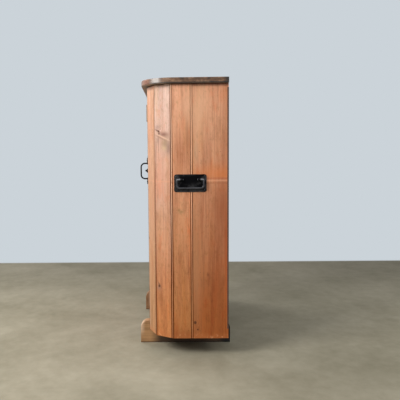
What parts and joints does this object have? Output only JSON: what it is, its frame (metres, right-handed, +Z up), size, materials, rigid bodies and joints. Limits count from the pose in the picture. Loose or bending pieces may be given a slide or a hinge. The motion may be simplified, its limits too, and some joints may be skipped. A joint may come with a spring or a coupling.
{
  "type": "warming cabinet",
  "caption": "Tall boarded pine warming cupboard with coopered front corners, hinged front doors, a tin-lined shelved inside open at the back, drop side handles and sledge runners.",
  "frame": {"origin": "on the floor, at the centre of the footprint's bounding box", "axes": "+X towards the side that the picture shows, -Y towards the doors, +Z up"},
  "size_m": [1.19, 0.5402, 1.535],
  "materials": {
    "pine": "old waxed pine, warm orange brown, with knots and worn edges",
    "frame_pine": "bare sawn pine, dry and yellowed",
    "top_pine": "dark weathered pine, grey where it is worn",
    "runner_pine": "grey brown unwaxed pine, rubbed on the curves",
    "tinned_sheet": "dull tinned sheet iron, stained brown in places",
    "black_iron": "black wrought iron, satin, rubbed at the edges"
  },
  "bodies": {
    "carcase": {"top_front_board": "top_pine", "top_rear_board": "top_pine", "right_rear_board": "pine", "right_middle_board": "pine", "right_corner_rear_board": "pine", "right_corner_front_board": "pine", "left_rear_board": "pine", "left_middle_board": "pine", "left_corner_rear_board": "pine", "left_corner_front_board": "pine", "right_front_stile": "frame_pine", "left_front_stile": "frame_pine", "right_rear_post": "frame_pine", "left_rear_post": "frame_pine", "front_top_rail": "frame_pine", "front_bottom_rail": "frame_pine", "rear_top_batten": "frame_pine", "floor_boards": "frame_pine", "right_runner": "runner_pine", "left_runner": "runner_pine", "right_top_rib": "frame_pine", "left_top_rib": "frame_pine", "right_lining": "tinned_sheet", "left_lining": "tinned_sheet", "ceiling_lining": "tinned_sheet", "right_shelf_bearers": "frame_pine", "left_shelf_bearers": "frame_pine", "lower_shelf": "tinned_sheet", "middle_shelf": "tinned_sheet", "upper_shelf": "tinned_sheet", "right_handle_plate": "black_iron", "left_handle_plate": "black_iron", "handle_screws": "black_iron", "hinge_frame_leaves": "black_iron", "hinge_pins": "black_iron", "bolt_keeper": "black_iron"},
    "right_bail": {"right_handle_bail": "black_iron"},
    "left_bail": {"left_handle_bail": "black_iron"},
    "right_door": {"right_door_board_1": "pine", "right_door_board_2": "pine", "right_door_board_3": "pine", "right_door_board_4": "pine", "right_door_ledges": "frame_pine", "right_door_lining": "tinned_sheet", "right_hinge_door_leaves": "black_iron", "right_meeting_strip": "pine", "door_pull": "black_iron", "pull_screws": "black_iron"},
    "latch": {"latch_knob": "black_iron", "latch_tongue": "black_iron"},
    "left_door": {"left_door_board_1": "pine", "left_door_board_2": "pine", "left_door_board_3": "pine", "left_door_board_4": "pine", "left_door_ledges": "frame_pine", "left_door_lining": "tinned_sheet", "left_hinge_door_leaves": "black_iron", "left_meeting_strip": "pine", "bolt_plate": "black_iron"},
    "door_bolt": {"bolt": "black_iron"}
  },
  "joints": [
    {"name": "right_door_hinge", "type": "hinge", "parent": "carcase", "child": "right_door", "pos_m": [0.40494, -0.20667, 0.819], "axis": [0, 0, 1], "range_deg": [0, 120]},
    {"name": "left_door_hinge", "type": "hinge", "parent": "carcase", "child": "left_door", "pos_m": [-0.40494, -0.20667, 0.819], "axis": [0, 0, -1], "range_deg": [0, 120]},
    {"name": "latch_turn", "type": "hinge", "parent": "right_door", "child": "latch", "pos_m": [0.062, -0.20607, 1.016], "axis": [0, 1, 0], "range_deg": [0, 90]},
    {"name": "bolt_slide", "type": "slide", "parent": "left_door", "child": "door_bolt", "axis": [0, 0, 1], "range_m": [0, 0.022]},
    {"name": "right_bail_pivot", "type": "hinge", "parent": "carcase", "child": "right_bail", "pos_m": [0.5865, 0.03107, 0.989], "axis": [0, -1, 0], "range_deg": [0, 95]},
    {"name": "left_bail_pivot", "type": "hinge", "parent": "carcase", "child": "left_bail", "pos_m": [-0.5865, 0.03107, 0.989], "axis": [0, 1, 0], "range_deg": [0, 95]}
  ]
}
